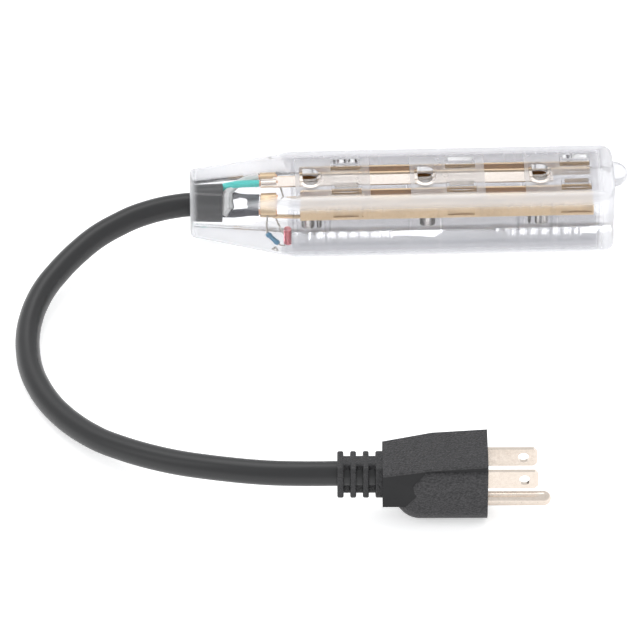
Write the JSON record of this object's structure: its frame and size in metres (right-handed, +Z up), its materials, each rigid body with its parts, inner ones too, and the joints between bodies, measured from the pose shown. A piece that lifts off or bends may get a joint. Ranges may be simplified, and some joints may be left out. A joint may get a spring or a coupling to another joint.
{
  "type": "lighted three-outlet adapter cord",
  "caption": "Short grounded extension cord with a clear block of outlets, a pilot lamp inside it and a moulded grounding plug on a black cord.",
  "frame": {"origin": "bottom centre of the clear block's box, with its hang tab", "axes": "+X along the block from its cord end to its hang tab, +Z up out of the outlet face, +Y across the block towards the neutral slots"},
  "size_m": [0.2057, 0.168, 0.0268],
  "materials": {
    "clear_pvc": "soft clear moulding, faintly milky, satin to gloss",
    "clear_carrier": "clear hard moulding, gloss",
    "brass": "stamped strip, satin",
    "nickel_socket": "rolled brass, bright nickel plating",
    "black_insulation": "smooth extruded insulation",
    "white_insulation": "smooth extruded insulation",
    "green_insulation": "smooth extruded insulation",
    "copper": "bare stranded copper",
    "lamp_glass": "small tinted glass bulb",
    "lamp_metal": "thin electrodes",
    "resistor_lacquer": "blue lacquer over ceramic",
    "tinned_wire": "tinned copper lead",
    "black_cord": "smooth extruded jacket, satin gloss",
    "black_plug": "moulded, fine pebbled texture",
    "plug_core": "moulded hard insert",
    "nickel_blade": "nickel-plated brass, satin"
  },
  "bodies": {
    "root": {"outer_jacket": "clear_pvc", "carrier_tray": "clear_carrier", "outlet_insert_1": "clear_carrier", "outlet_insert_2": "clear_carrier", "outlet_insert_3": "clear_carrier", "hot_bus": "brass", "neutral_bus": "brass", "ground_bus": "brass", "hot_contact_1": "brass", "hot_contact_2": "brass", "hot_contact_3": "brass", "neutral_contact_1": "brass", "neutral_contact_2": "brass", "neutral_contact_3": "brass", "ground_contact_1": "nickel_socket", "ground_contact_2": "nickel_socket", "ground_contact_3": "nickel_socket", "hot_wire": "black_insulation", "neutral_wire": "white_insulation", "ground_wire": "green_insulation", "hot_strands": "copper", "neutral_strands": "copper", "ground_strands": "copper", "lamp_glass": "lamp_glass", "lamp_electrodes": "lamp_metal", "resistor_body": "resistor_lacquer", "lamp_leads": "tinned_wire", "cord_jacket": "black_cord", "plug_body": "black_plug", "plug_insert": "plug_core", "hot_blade": "nickel_blade", "neutral_blade": "nickel_blade", "ground_pin": "nickel_blade", "plug_hot_wire": "black_insulation", "plug_neutral_wire": "white_insulation", "plug_ground_wire": "green_insulation"}
  },
  "joints": []
}
